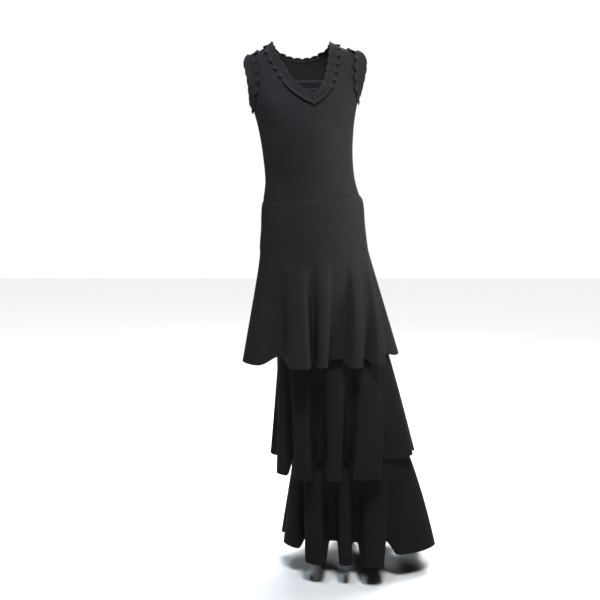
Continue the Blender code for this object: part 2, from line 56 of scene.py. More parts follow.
FLOOR_TONE = (0.93, 0.93, 0.93, 1.0)
FLOOR_ROUGHNESS = 0.9

# Cloth and seams
WALL = 0.002
SEAM_GAP = 0.0003
SIDE_GAP = 0.00002
TRIM_CLEAR = 0.0009
UNDERSKIRT_CLEAR = 0.0008
SHARP_ANGLE = math.radians(60)

# Steps over which the slope of the tube is measured, and the least length that is divided by
SLOPE_TURN = math.radians(0.5)
SLOPE_STEP = 0.001
LEAST_LENGTH = 1e-12

# Seam heights down the garment
WAIST_SEAM = -0.412
FLOUNCE_SEAM = -0.556
UNDERSKIRT_TOP = -0.549
UNDERSKIRT_HEM = -1.105

# The tube that the garment is cut on: an oval at each height, or a squarer one where the last value
# is over 2. A level of the garment rises towards +X by so much for each metre.
Section = namedtuple("Section", "height centre half_width front back rise square")
FORM = (
    Section(0.022, -0.004, 0.067, 0.030, 0.045, 0.00, 2.0),
    Section(0.000, -0.003, 0.077, 0.038, 0.056, 0.00, 2.0),
    Section(-0.016, 0.000, 0.109, 0.044, 0.066, 0.02, 2.2),
    Section(-0.036, 0.005, 0.148, 0.052, 0.078, 0.03, 2.4),
    Section(-0.075, 0.008, 0.155, 0.068, 0.089, 0.02, 2.4),
    Section(-0.150, 0.006, 0.145, 0.100, 0.097, 0.02, 2.3),
    Section(-0.190, 0.009, 0.135, 0.112, 0.095, 0.03, 2.2),
    Section(-0.235, 0.012, 0.127, 0.117, 0.089, 0.04, 2.1),
    Section(-0.300, 0.016, 0.121, 0.107, 0.078, 0.05, 2.1),
    Section(-0.360, 0.021, 0.121, 0.092, 0.073, 0.06, 2.1),
    Section(-0.404, 0.024, 0.129, 0.089, 0.081, 0.066, 2.1),
    Section(-0.430, 0.028, 0.138, 0.096, 0.094, 0.06, 2.1),
    Section(-0.490, 0.030, 0.142, 0.103, 0.113, 0.04, 2.1),
    Section(-0.556, 0.033, 0.148, 0.108, 0.121, 0.02, 2.0),
    Section(-0.700, 0.055, 0.149, 0.109, 0.119, 0.00, 2.0),
    Section(-0.820, 0.083, 0.146, 0.107, 0.113, 0.00, 2.0),
    Section(-0.980, 0.106, 0.146, 0.107, 0.111, 0.00, 2.0),
    Section(-1.130, 0.136, 0.150, 0.109, 0.113, 0.00, 2.0),
)

# Cut edge of the neck, which lies under the middle of the neck trim
NeckRow = namedtuple("NeckRow", "height left right")
NECK_FRONT = (
    NeckRow(-0.005, -0.0873, 0.0827),
    NeckRow(-0.030, -0.0805, 0.0830),
    NeckRow(-0.060, -0.0630, 0.0795),
    NeckRow(-0.098, -0.0400, 0.0720),
    NeckRow(-0.121, -0.0210, 0.0620),
    NeckRow(-0.142, 0.0060, 0.0450),
    NeckRow(-0.153, 0.0280, 0.0280),
)
NECK_BACK = (
    NeckRow(-0.005, -0.0873, 0.0827),
    NeckRow(-0.016, -0.0820, 0.0800),
    NeckRow(-0.030, -0.0650, 0.0650),
    NeckRow(-0.042, -0.0370, 0.0400),
    NeckRow(-0.048, 0.0020, 0.0020),
)

# Armholes: ovals round the side of the tube, which is turned a little, so that the viewer sees more
# of the left one. Each has the angles by which it opens to the front and to the back.
ARMHOLE_TOP = -0.027
ARMHOLE_SQUARENESS = 0.8
Armhole = namedtuple("Armhole", "bottom front_open back_open")
ARMHOLE_LEFT = Armhole(-0.168, math.radians(31), math.radians(33))
ARMHOLE_RIGHT = Armhole(-0.150, math.radians(25), math.radians(36))

# Flounces: the hem's section at the bottom of the valleys, and a row for each fold. An angle is round
# the tube from the front towards +X, left and right are how far a fold's flanks reach, out is its
# height above the valleys, lean pushes its crest sideways, full is how broad and flat its crest is,
# start is where it begins down the flounce, and drop is how much lower its hem hangs. A swing turns
# the cloth at an angle of the hem by so much at the seam, so that the folds there hang plumb.
Flounce = namedtuple("Flounce", "name top ease hem flare folds swings")
Fold = namedtuple("Fold", "angle left right out lean full start drop")
Swing = namedtuple("Swing", "angle turn")
HEM_FULLNESS = 1.3
FOLD_GROWTH = 1.1
CREST_DOME = 0.3
UPPER_FOLDS = (
    Fold(-68, 32, 27, 0.042, 0.006, 1.4, 0.04, 0.023),
    Fold(-18, 19, 9, 0.058, 0.014, 1.6, 0.05, 0.017),
    Fold(-3, 6, 6, 0.044, 0.004, 1.7, 0.05, 0.015),
    Fold(21, 8, 7, 0.052, 0.004, 1.8, 0.04, 0.016),
    Fold(43, 10, 9, 0.036, 0.003, 1.5, 0.05, 0.015),
    Fold(84, 22, 24, 0.014, 0.002, 1.4, 0.06, 0.006),
    Fold(124, 15, 15, 0.036, -0.005, 1.5, 0.05, 0.014),
    Fold(152, 12, 14, 0.040, 0.004, 1.6, 0.08, 0.010),
    Fold(183, 16, 13, 0.052, -0.006, 1.6, 0.04, 0.014),
    Fold(210, 13, 12, 0.038, 0.003, 1.5, 0.10, 0.010),
    Fold(236, 14, 15, 0.044, 0.005, 1.5, 0.05, 0.014),
)
UPPER_SWINGS = (Swing(-90, 0), Swing(-50, 0), Swing(-18, -1), Swing(-3, 11), Swing(21, 25), Swing(43, 28),
                Swing(68, 13), Swing(90, 0))
MIDDLE_FOLDS = (
    Fold(-90, 16, 14, 0.001, 0.000, 1.8, 0.10, 0.024),
    Fold(-61, 15, 11, 0.029, 0.010, 1.8, 0.10, 0.048),
    Fold(-34, 16, 9, 0.060, 0.016, 1.9, 0.08, 0.042),
    Fold(-11, 9, 8, 0.058, 0.008, 1.9, 0.06, 0.038),
    Fold(13, 13, 17, 0.056, -0.004, 2.6, 0.05, 0.036),
    Fold(60, 22, 22, 0.008, 0.003, 1.5, 0.15, 0.003),
    Fold(98, 14, 14, 0.008, 0.002, 1.5, 0.08, 0.006),
    Fold(128, 16, 14, 0.034, 0.004, 1.6, 0.12, 0.028),
    Fold(157, 13, 15, 0.038, -0.004, 1.5, 0.10, 0.024),
    Fold(188, 15, 14, 0.050, 0.005, 1.7, 0.05, 0.032),
    Fold(218, 14, 15, 0.042, -0.004, 1.5, 0.08, 0.028),
    Fold(248, 14, 13, 0.036, 0.003, 1.6, 0.06, 0.026),
)
MIDDLE_SWINGS = (Swing(-90, 0), Swing(-61, -2), Swing(-33, 0), Swing(-11, 12), Swing(14, 28), Swing(40, 26),
                 Swing(66, 14), Swing(90, 0))
LOWER_FOLDS = (
    Fold(-66, 26, 15, 0.028, 0.006, 2.2, 0.08, 0.030),
    Fold(-37, 14, 10, 0.064, 0.016, 2.3, 0.10, 0.048),
    Fold(-14, 7, 6, 0.056, 0.006, 2.0, 0.12, 0.046),
    Fold(7, 12, 10, 0.062, 0.000, 2.3, 0.08, 0.050),
    Fold(48, 30, 46, 0.018, -0.002, 2.4, 0.20, 0.036),
    Fold(108, 12, 12, 0.014, 0.002, 1.6, 0.30, 0.020),
    Fold(128, 14, 14, 0.036, 0.004, 1.7, 0.20, 0.040),
    Fold(154, 13, 15, 0.036, -0.004, 1.5, 0.20, 0.030),
    Fold(187, 16, 14, 0.056, 0.005, 1.8, 0.10, 0.042),
    Fold(216, 14, 13, 0.040, 0.003, 1.5, 0.10, 0.034),
    Fold(246, 15, 16, 0.044, -0.004, 1.6, 0.08, 0.036),
)
LOWER_SWINGS = (Swing(-90, 0), Swing(-64, -5), Swing(-36, -6), Swing(-14, 5), Swing(7, 20), Swing(43, 23),
                Swing(70, 12), Swing(90, 0))
FLOUNCES = (
    Flounce("flounce_upper", FLOUNCE_SEAM - SIDE_GAP, 0.0,
            Section(-0.834, 0.062, 0.192, 0.136, 0.150, 0.0, 2.0), 1.0, UPPER_FOLDS, UPPER_SWINGS),
    Flounce("flounce_middle", -0.790, 0.0004,
            Section(-1.118, 0.123, 0.189, 0.122, 0.144, 0.0, 2.0), 0.9, MIDDLE_FOLDS, MIDDLE_SWINGS),
    Flounce("flounce_lower", -1.085, 0.0,
            Section(-1.348, 0.168, 0.200, 0.116, 0.150, 0.0, 2.0), 0.72, LOWER_FOLDS, LOWER_SWINGS),
)

# Ribs: the distance from one to the next and how far they stand out
BODICE_RIB = 0.0027
YOKE_RIB = 0.0056
YOKE_RIB_HEIGHT = 0.0007
FLOUNCE_RIB = 0.0030
TRIM_RIB = 0.0022
RIB_ROWS = 4
RIB_PROFILE = (0.0, 0.72, 1.0, 0.72)

# Half of the bodice's front or back: its rows down the neck, and how far down the centre line it has
# come where the other rows reach the underarm
Panel = namedtuple("Panel", "neck_rows underarm_share")
FRONT_PANEL = Panel(44, 0.18)
BACK_PANEL = Panel(30, 0.39)

# How finely the shells are divided
BODICE_ROWS = 54
BODICE_COLUMNS = 66
YOKE_COLUMNS = 150
UNDERSKIRT_ROWS = 40
UNDERSKIRT_COLUMNS = 60
FLOUNCE_COLUMNS = 200
FLOUNCE_ROWS = 70
HEM_SAMPLES = 1440
PATH_STEPS = 360

# Scalloped trims: two rows of petals either side of a cord. A petal widens down to its peak and is
# cut back below it, where its edge stands off the cloth. Near the centre front the trim is plain: a
# collar with a rim and a groove. A PLAIN value is the share that is left of a petal's form there. A START,
# RISE or FALL is a share of a petal's length, and a PLACE or FOLD is a share of the way from the stitched
# line to the edge. ROUNDNESS and LEAN are powers that make a curve fuller or move its top.
NECK_HALF_WIDTH = 0.0108
PETAL_PEAK = 0.58
INNER_SCALLOP = 0.0034
SCALLOP_ROUNDNESS = 0.8
INNER_PLAIN = 0.5
OUTER_PLAIN = 0.45
CORD_WIDTH = 0.0016
CORD_HEIGHT = 0.0011
CORD_PLAIN = 0.4
STITCH_AWAY = 0.0030
STITCH_WIDTH = 0.0009
STITCH_DEPTH = 0.0008
PETAL_SWELL = 0.0021
SWELL_LEAN = 0.8
SWELL_FALL = 0.16
SWELL_PLAIN = 0.35
EDGE_LIFT = 0.0036
EDGE_START = 0.35
EDGE_RISE = 0.4
EDGE_FALL = 0.12
NECK_FLARE_SHARE = 0.4
COLLAR_LIFT = 0.0042
COLLAR_RIM = 0.0013
COLLAR_GROOVE = 0.0005
COLLAR_FOLD = 0.12
RIM_PLACE = 0.80
GROOVE_PLACE = 0.45
MITRE_RIDGE = 0.0014
MITRE_RIDGE_WIDTH = 0.0032
MITRE_FAN = 0.028
MITRE_LIMIT = 2.0
MITRE_GAP = 0.0009
SHOULDER_FAN = 0.006
SHOULDER_GAP = 0.0002
TRIM_ACROSS = 40
PETAL_STEPS = 20

# Petal length and how far its point stands out, and where the petals give way to the plain stretch,
# measured from the centre front
NeckTrim = namedtuple("NeckTrim", "name petal point plain fade")
NECK_TRIM_LEFT = NeckTrim("neck_trim_left", 0.0262, 0.0056, 0.076, 0.026)
NECK_TRIM_RIGHT = NeckTrim("neck_trim_right", 0.0228, 0.0082, 0.040, 0.022)
NECK_TRIM_BACK = NeckTrim("neck_trim_back", 0.0250, 0.0060, 0.0, 0.0)

# Seam at an end of the neck trim: its plane, how far the petals fan into it, and its gap
TrimSeam = namedtuple("TrimSeam", "plane fan gap")

# Armhole trim round the opening: its reach over the opening and over the cloth, and how far its free
# edge stands out. Turn 0 is the shoulder, 90 the front, 180 the underarm and 270 the back.
ArmholeRow = namedtuple("ArmholeRow", "turn inner outer flare")
ARMHOLE_TRIM = (
    ArmholeRow(0, 0.0115, 0.0125, 0.0050),
    ArmholeRow(50, 0.0130, 0.0135, 0.0100),
    ArmholeRow(100, 0.0120, 0.0125, 0.0075),
    ArmholeRow(150, 0.0090, 0.0100, 0.0030),
    ArmholeRow(180, 0.0080, 0.0090, 0.0020),
    ArmholeRow(210, 0.0090, 0.0100, 0.0030),
    ArmholeRow(270, 0.0120, 0.0120, 0.0060),
    ArmholeRow(360, 0.0115, 0.0125, 0.0050),
)
ARMHOLE_PETAL = 0.0262
ARMHOLE_POINT = 0.0056

# Slim straps across the neck opening
STRAP_HALF_DEPTH = 0.0034
STRAP_END_INSET = 0.003
STRAP_OUT = 0.0004
STRAP_CROWN = 0.0012
STRAP_ACROSS = 10
STRAP_COLUMNS = 60
Strap = namedtuple("Strap", "name height")
STRAPS = (Strap("strap_upper", -0.108), Strap("strap_lower", -0.129))

# Mean radius, which makes an angle round the tube a distance over the cloth
BODICE_RADIUS = 0.135

# Soft creases of the bodice, from one place to another, each with its width and depth in metres. One
# with a negative depth is a ridge. The cloth is drawn into the waist seam by a tuck.
Crease = namedtuple("Crease", "angle height end_angle end_height width depth")
BODICE_CREASES = (
    Crease(-9, -0.312, -8, -0.400, 0.006, 0.0004),
    Crease(2, -0.345, 3, -0.404, 0.005, 0.0003),
    Crease(11, -0.318, 11, -0.402, 0.006, 0.0004),
    Crease(-40, -0.345, -30, -0.408, 0.012, 0.0007),
    Crease(36, -0.352, 30, -0.408, 0.012, 0.0008),
    Crease(52, -0.330, 40, -0.372, 0.014, 0.0009),
    Crease(-22, -0.128, -24, -0.178, 0.007, 0.0008),
    Crease(-36, -0.160, -33, -0.172, 0.032, -0.0030),
    Crease(40, -0.160, 38, -0.172, 0.030, -0.0026),
    Crease(-60, -0.212, -36, -0.238, 0.020, 0.0034),
    Crease(62, -0.212, 44, -0.236, 0.016, 0.0020),
    Crease(150, -0.330, 160, -0.405, 0.012, 0.0018),
    Crease(186, -0.320, 182, -0.406, 0.010, 0.0015),
    Crease(206, -0.335, 200, -0.404, 0.012, -0.0014),
    Crease(128, -0.215, 150, -0.262, 0.016, 0.0016),
    Crease(232, -0.210, 212, -0.258, 0.016, 0.0016),
)
SEAM_TUCK = 0.0011
SEAM_TUCK_WIDTH = 0.0035

# Knits: whether the ribs lie side by side across the cloth or down it, their distance, the stitches in
# a metre, the ribs' share of the relief, the bump's height, the tones of valley and crest, and the sheen.
# The valley tone is painted shade in the rib valleys and the crest tone painted light on the crests; the
# yarn's fuzz and broad unevenness also vary between the two.
Knit = namedtuple("Knit", "name across spacing stitches depth bump valley crest sheen")
KNITS = (
    Knit("bodice_knit", True, BODICE_RIB, 420.0, 0.8, 0.00035,
         (0.0052, 0.0052, 0.0057), (0.0166, 0.0162, 0.0173), 0.008),
    Knit("yoke_knit", False, YOKE_RIB, 420.0, 0.3, 0.00014,
         (0.0066, 0.0066, 0.0071), (0.0162, 0.0158, 0.0169), 0.008),
    Knit("flounce_knit", False, FLOUNCE_RIB, 520.0, 0.5, 0.00010,
         (0.0056, 0.0056, 0.0060), (0.0118, 0.0114, 0.0122), 0.006),
    Knit("underskirt_knit", True, FLOUNCE_RIB, 520.0, 0.5, 0.00012,
         (0.003, 0.003, 0.0035), (0.012, 0.0115, 0.0125), 0.005),
    Knit("trim_knit", False, TRIM_RIB, 600.0, 0.6, 0.00020,
         (0.0050, 0.0050, 0.0055), (0.0176, 0.0172, 0.0183), 0.008),
)
BUMP_STRENGTH = 0.9
KNIT_SPECULAR = 0.035
SHEEN_ROUGHNESS = 0.45
SHEEN_TINT = (0.72, 0.72, 0.78, 1.0)

# Fine fuzz and broad unevenness of the yarn, and what each adds to the knit's relief, tone and roughness
RIB_ROUNDNESS = 0.7
FUZZ_SCALE = 900.0
FUZZ_DETAIL = 3.0
BROAD_SCALE = 14.0
BROAD_DETAIL = 2.0
STITCH_RELIEF = 0.22
FUZZ_RELIEF = 0.35
# Painted shade: the ribs' share of the colour, darker in their valleys and paler on their crests
RIB_PAINTED_SHADE = 0.55
FUZZ_TONE = 0.35
BROAD_TONE = 0.30
LEAST_ROUGHNESS = 0.74
FUZZ_ROUGHNESS = 0.18

# Soft lights: place, aim, size, power, how wide they throw, and colour
Light = namedtuple("Light", "name place aim size power throw colour")
LIGHTS = (
    Light("side_right", (1.20, -0.26, -0.38), (0.1, 0.0, -0.38), 0.4, 5.0, 75, (1.0, 0.97, 0.94)),
    Light("high_front", (0.30, -1.45, 1.65), (0.0, 0.0, -0.5), 0.6, 72.0, 180, (0.98, 0.99, 1.0)),
    Light("upper_left", (-0.42, -0.82, 1.10), (-0.06, 0.0, -0.1), 0.4, 9.5, 120, (0.72, 0.88, 1.0)),
    Light("back_high", (0.9, 1.7, 1.2), (0.0, 0.0, -0.5), 0.6, 52.0, 180, (1.0, 0.99, 0.98)),
    Light("back_side", (-0.35, 2.4, -0.2), (0.0, 0.0, -0.6), 0.5, 12.0, 140, (0.86, 0.93, 1.0)),
)
SKYLIGHT_PLACE = (0.1, 0.35, 1.0)
SKYLIGHT_POWER = 3.1
SKYLIGHT_SPREAD = math.radians(30)
SURROUND_LIGHT = 0.03


def mix(first, second, share):
    """Go from the first value to the second by a share from 0 to 1."""
    return first + (second - first) * share


def smooth_step(value):
    """Ease from 0 to 1."""
    value = numpy.clip(value, 0.0, 1.0)
    return value * value * (3.0 - 2.0 * value)


def read_table(rows, at):
    """Read every column of a table smoothly at values of its first column."""
    data = numpy.array(sorted(rows), float)
    keys = data[:, 0]
    at = numpy.clip(numpy.asarray(at, float), keys[0], keys[-1])
    low = numpy.clip(numpy.searchsorted(keys, at, side="right") - 1, 0, len(keys) - 2)
    before, after = numpy.maximum(low - 1, 0), numpy.minimum(low + 2, len(keys) - 1)
    span = (keys[low + 1] - keys[low])[..., None]
    share = (at - keys[low])[..., None] / span
    start, end = data[low], data[low + 1]
    slope_in = (end - data[before]) / (keys[low + 1] - keys[before])[..., None]
    slope_out = (data[after] - start) / (keys[after] - keys[low])[..., None]
    square, cube = share ** 2, share ** 3
    values = (2 * cube - 3 * square + 1) * start + (cube - 2 * square + share) * span * slope_in
    values += (3 * square - 2 * cube) * end + (cube - square) * span * slope_out
    return type(rows[0])(*numpy.moveaxis(values, -1, 0))


def squared(value, square):
    """Sine or cosine bent towards a squarer oval."""
    return numpy.copysign(numpy.abs(value) ** (2.0 / square), value)


def ring_point(section, angle):
    """Points at angles round oval sections, 0 at the front and 90 degrees at +X."""
    depth = numpy.where(numpy.cos(angle) > 0, section.front, section.back)
    aside = section.half_width * squared(numpy.sin(angle), section.square)
    ahead = depth * squared(numpy.cos(angle), section.square)
    return numpy.stack(numpy.broadcast_arrays(section.centre + aside, -ahead,
                                              section.height + section.rise * aside), -1)


def unit(vectors):
    """Vectors at length 1."""
    return vectors / numpy.maximum(numpy.linalg.norm(vectors, axis=-1, keepdims=True), LEAST_LENGTH)


def form_normal(angle, height):
    """Outward directions of the tube."""
    above = ring_point(read_table(FORM, height + SLOPE_STEP), angle)
    below = ring_point(read_table(FORM, height - SLOPE_STEP), angle)
    section = read_table(FORM, height)
    along = ring_point(section, angle + SLOPE_TURN) - ring_point(section, angle - SLOPE_TURN)
    return unit(numpy.cross(below - above, along))


def form_point(angle, height, out=0.0):
    """Points of the tube at angles and heights, moved out by a distance."""
    angle, height = numpy.broadcast_arrays(numpy.asarray(angle, float), numpy.asarray(height, float))
    point = ring_point(read_table(FORM, height), angle)
    return point + form_normal(angle, height) * numpy.asarray(out, float)[..., None]


def angle_at(x, height, back=False):
    """Angles round the tube of points at x, seen from the front or from the back."""
    section = read_table(FORM, height)
    ratio = numpy.clip((x - section.centre) / section.half_width, -1.0, 1.0)
    angle = numpy.arcsin(squared(ratio, 4.0 / section.square))
    return math.pi - angle if back else angle


def seam_inset(section, depth):
    """Angle by which a piece is drawn back from the side seam, for half the gap there."""
    return (0.5 * SIDE_GAP / depth) ** (0.5 * section.square)


def line_length(points):
    """Distance along a line of points, from its start to each of them."""
    steps = numpy.linalg.norm(numpy.diff(points, axis=0), axis=-1)
    return numpy.concatenate(([0.0], numpy.cumsum(steps)))


def neck_path(table, side):
    """Fine path down one side of the neck, from the shoulder to the centre."""
    height = mix(table[0].height, table[-1].height, numpy.linspace(0.0, 1.0, PATH_STEPS + 1) ** 2)
    row = read_table(table, height)
    back = table is NECK_BACK
    angle = angle_at(row.right if side > 0 else row.left, height, back)
    if back and side < 0:
        angle = numpy.where(angle > math.pi, angle, 2 * math.pi - angle)
    return angle, height


def armhole_edge(side, turn):
    """Angles and heights of the armhole's edge: turn 0 at the shoulder, then front, underarm, back."""
    armhole = ARMHOLE_LEFT if side < 0 else ARMHOLE_RIGHT
    wave = numpy.sin(turn)
    open_by = numpy.where(wave > 0, -armhole.front_open, armhole.back_open)
    angle = math.pi / 2 + open_by * numpy.abs(wave) ** ARMHOLE_SQUARENESS
    middle = 0.5 * (ARMHOLE_TOP + armhole.bottom)
    return side * angle, middle + 0.5 * (ARMHOLE_TOP - armhole.bottom) * numpy.cos(turn)


def armhole_path(back, side):
    """Fine path down one side of the armhole, from the shoulder to the underarm."""
    turn = numpy.linspace(2 * math.pi if back else 0.0, math.pi, PATH_STEPS + 1)
    angle, height = armhole_edge(side, turn)
    return (angle + 2 * math.pi if back and side < 0 else angle), height


def at_distances(path, distances):
    """Angles and heights on a path at distances along it."""
    lengths = line_length(form_point(*path))
    return numpy.interp(distances, lengths, path[0]), numpy.interp(distances, lengths, path[1])


def path_length(path):
    """Length of a path on the tube."""
    return line_length(form_point(*path))[-1]


def panel_half(table, side, rows, columns):
    """Angles and heights of half of the front or back bodice, shoulder seam to waist seam."""
    back = table is NECK_BACK
    neck_rows, underarm_share = BACK_PANEL if back else FRONT_PANEL
    shares = numpy.linspace(0.0, 1.0, rows + 1)
    neck, armhole = neck_path(table, side), armhole_path(back, side)
    inner_angle, inner_height = at_distances(neck, numpy.linspace(0.0, path_length(neck), neck_rows + 1))
    outer_angle, outer_height = at_distances(armhole, shares * path_length(armhole))
    lower = shares[1:]
    middle = math.pi if back else 0.0
    beside = underarm_share * numpy.arange(1, rows - neck_rows + 1) / (rows - neck_rows)
    centre = numpy.append(beside, mix(underarm_share, 1.0, lower))
    inner_angle = numpy.append(inner_angle, mix(inner_angle[-1], middle, centre))
    inner_height = numpy.append(inner_height, mix(inner_height[-1], WAIST_SEAM, centre))
    outer_angle = numpy.append(outer_angle, numpy.full(rows, outer_angle[-1]))
    outer_height = numpy.append(outer_height, mix(outer_height[-1], WAIST_SEAM, lower))
    across = numpy.linspace(0.0, 1.0, columns + 1)[None, :]
    angle = mix(inner_angle[:, None], outer_angle[:, None], across)
    height = mix(inner_height[:, None], outer_height[:, None], across)
    section = read_table(FORM, height)
    limit = math.pi / 2 - seam_inset(section, section.back if back else section.front)
    angle = numpy.clip(angle, middle - limit, middle + limit)
    if (side > 0) == back:
        angle, height = angle[:, ::-1], height[:, ::-1]
    return angle, height


def fold_near(fold, angle):
    """How near angles are to a fold's middle: 1 there and 0 at the feet of its flanks."""
    away = (numpy.degrees(angle) - fold.angle + 180.0) % 360.0 - 180.0
    reach = numpy.where(away > 0, fold.right, fold.left)
    return numpy.maximum(1.0 - numpy.abs(away) / reach, 0.0)


def swung(flounce, angle, down):
    """Angles turned above the hem, so that the folds hang plumb while the skirt sweeps aside."""
    turn = read_table(flounce.swings, (numpy.degrees(angle) + 180.0) % 360.0 - 180.0).turn
    return angle + numpy.radians(turn) * (1.0 - down)


def flounce_point(flounce, angle, down):
    """Points of a flounce at angles, from its seam (0) to its hem (1)."""
    angle, down = numpy.broadcast_arrays(numpy.asarray(angle, float), numpy.asarray(down, float))
    seam = read_table(FORM, flounce.top)
    seam = seam._replace(half_width=seam.half_width + flounce.ease, front=seam.front + flounce.ease,
                         back=seam.back + flounce.ease)
    spread = down ** flounce.flare
    widths = [mix(a, b, spread) for a, b in zip(seam[1:], flounce.hem[1:])]
    section = Section(mix(flounce.top, flounce.hem.height, down), *widths)
    turned = swung(flounce, angle, down)
    point = ring_point(section, turned)
    depth = numpy.where(numpy.cos(turned) > 0, section.front, section.back)
    level = numpy.zeros_like(angle)
    slopes = (numpy.sin(turned) / section.half_width, -numpy.cos(turned) / depth, level)
    outward = unit(numpy.stack(slopes, -1))
    sideways = numpy.stack((-outward[..., 1], outward[..., 0], level), -1)
    for fold in flounce.folds:
        near = fold_near(fold, angle)
        grown = smooth_step(fold.full * near) * (1.0 - CREST_DOME * (1.0 - near) ** 2)
        grown = grown * (numpy.maximum(down - fold.start, 0.0) / (1.0 - fold.start)) ** FOLD_GROWTH
        point = point + (outward * fold.out + sideways * fold.lean) * grown[..., None]
        point[..., 2] -= fold.drop * smooth_step(HEM_FULLNESS * fold.full * near) * down ** 2
    return point


def even_angles(flounce, first, last, count):
    """Angles that divide a stretch of the hem evenly along the cloth."""
    fine = numpy.linspace(first, last, HEM_SAMPLES + 1)
    lengths = line_length(flounce_point(flounce, fine, 1.0))
    return numpy.interp(numpy.linspace(0.0, lengths[-1], count + 1), lengths, fine)


def grid_normals(grid):
    """Outward directions of a grid whose rows run down and whose columns run left to right."""
    return unit(numpy.cross(numpy.gradient(grid, axis=0), numpy.gradient(grid, axis=1)))


def new_piece(name, points, faces, places, material):
    """Mesh object with a UV map in metres of cloth, a material, and its body."""
    mesh = bpy.data.meshes.new(name)
    mesh.from_pydata(points.tolist(), [], faces)
    layer = mesh.uv_layers.new(name="cloth")
    index = numpy.empty(len(mesh.loops), int)
    mesh.loops.foreach_get("vertex_index", index)
    layer.data.foreach_set("uv", places[index].astype(numpy.float32).ravel())
    mesh.materials.append(material)
    mesh.shade_smooth()
    mesh.set_sharp_from_angle(angle=SHARP_ANGLE)
    piece = bpy.data.objects.new(name, mesh)
    bpy.context.scene.collection.objects.link(piece)
    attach(piece, "root")
    return piece


def shell_mesh(outer, inner, rows):
    """Points and faces of a closed wall: a fine outside and an inside on some of its rows."""
    count, columns = outer.shape[:2]
    points = numpy.concatenate((outer.reshape(-1, 3), inner.reshape(-1, 3)))
    index = numpy.arange(count * columns).reshape(count, columns)
    inside = numpy.arange(len(rows) * columns).reshape(len(rows), columns) + count * columns
    faces = []
    for upper, lower, turned in ((index[:-1], index[1:], False), (inside[:-1], inside[1:], True)):
        corners = [upper[:, :-1], lower[:, :-1], lower[:, 1:], upper[:, 1:]]
        if turned:
            corners.reverse()
        faces += numpy.stack(corners, -1).reshape(-1, 4).tolist()
    top = numpy.stack((index[0, :-1], index[0, 1:], inside[0, 1:], inside[0, :-1]), -1)
    hem = numpy.stack((index[-1, 1:], index[-1, :-1], inside[-1, :-1], inside[-1, 1:]), -1)
    faces += top.tolist() + hem.tolist()
    for i, (first, last) in enumerate(zip(rows, rows[1:])):
        faces.append([*index[first:last + 1, 0][::-1].tolist(), int(inside[i, 0]), int(inside[i + 1, 0])])
        faces.append([*index[first:last + 1, -1].tolist(), int(inside[i + 1, -1]), int(inside[i, -1])])
    return points, faces


def add_shell(name, grid, relief, places, material, every=1):
    """Cloth wall on a grid of points, with a relief on its outside and a plain inside."""
    normals = grid_normals(grid)
    rows = list(range(0, len(grid) - 1, every)) + [len(grid) - 1]
    outer = grid + normals * relief[..., None]
    inner = (grid - normals * WALL)[rows]
    points, faces = shell_mesh(outer, inner, rows)
    flat = numpy.concatenate((places.reshape(-1, 2), places[rows].reshape(-1, 2)))
    return new_piece(name, points, faces, flat, material)


def rib_rows(length):
    """Shares of the way down a ribbed piece, the ribs' relief there, and the height in its pattern."""
    ribs = round(length / YOKE_RIB)
    shares = numpy.linspace(0.0, 1.0, ribs * RIB_ROWS + 1)
    profile = numpy.array([RIB_PROFILE[i % RIB_ROWS] for i in range(len(shares))])
    return shares, profile * YOKE_RIB_HEIGHT, -shares * ribs * YOKE_RIB


def zigzag(phase):
    """Reach of a petal's outer edge: it widens to its peak and is cut back below it."""
    return numpy.where(phase < PETAL_PEAK, phase / PETAL_PEAK, (1.0 - phase) / (1.0 - PETAL_PEAK))


def across_slopes(angle, height, direction):
    """Change of angle and height for each metre along directions in the tube's surface."""
    by_angle = form_point(angle + SLOPE_TURN, height) - form_point(angle - SLOPE_TURN, height)
    by_height = form_point(angle, height + SLOPE_STEP) - form_point(angle, height - SLOPE_STEP)
    by_angle, by_height = by_angle / (2 * SLOPE_TURN), by_height / (2 * SLOPE_STEP)
    a, b, c = (by_angle ** 2).sum(-1), (by_angle * by_height).sum(-1), (by_height ** 2).sum(-1)
    d, e = (direction * by_angle).sum(-1), (direction * by_height).sum(-1)
    scale = a * c - b * b
    return (d * c - b * e) / scale, (a * e - b * d) / scale


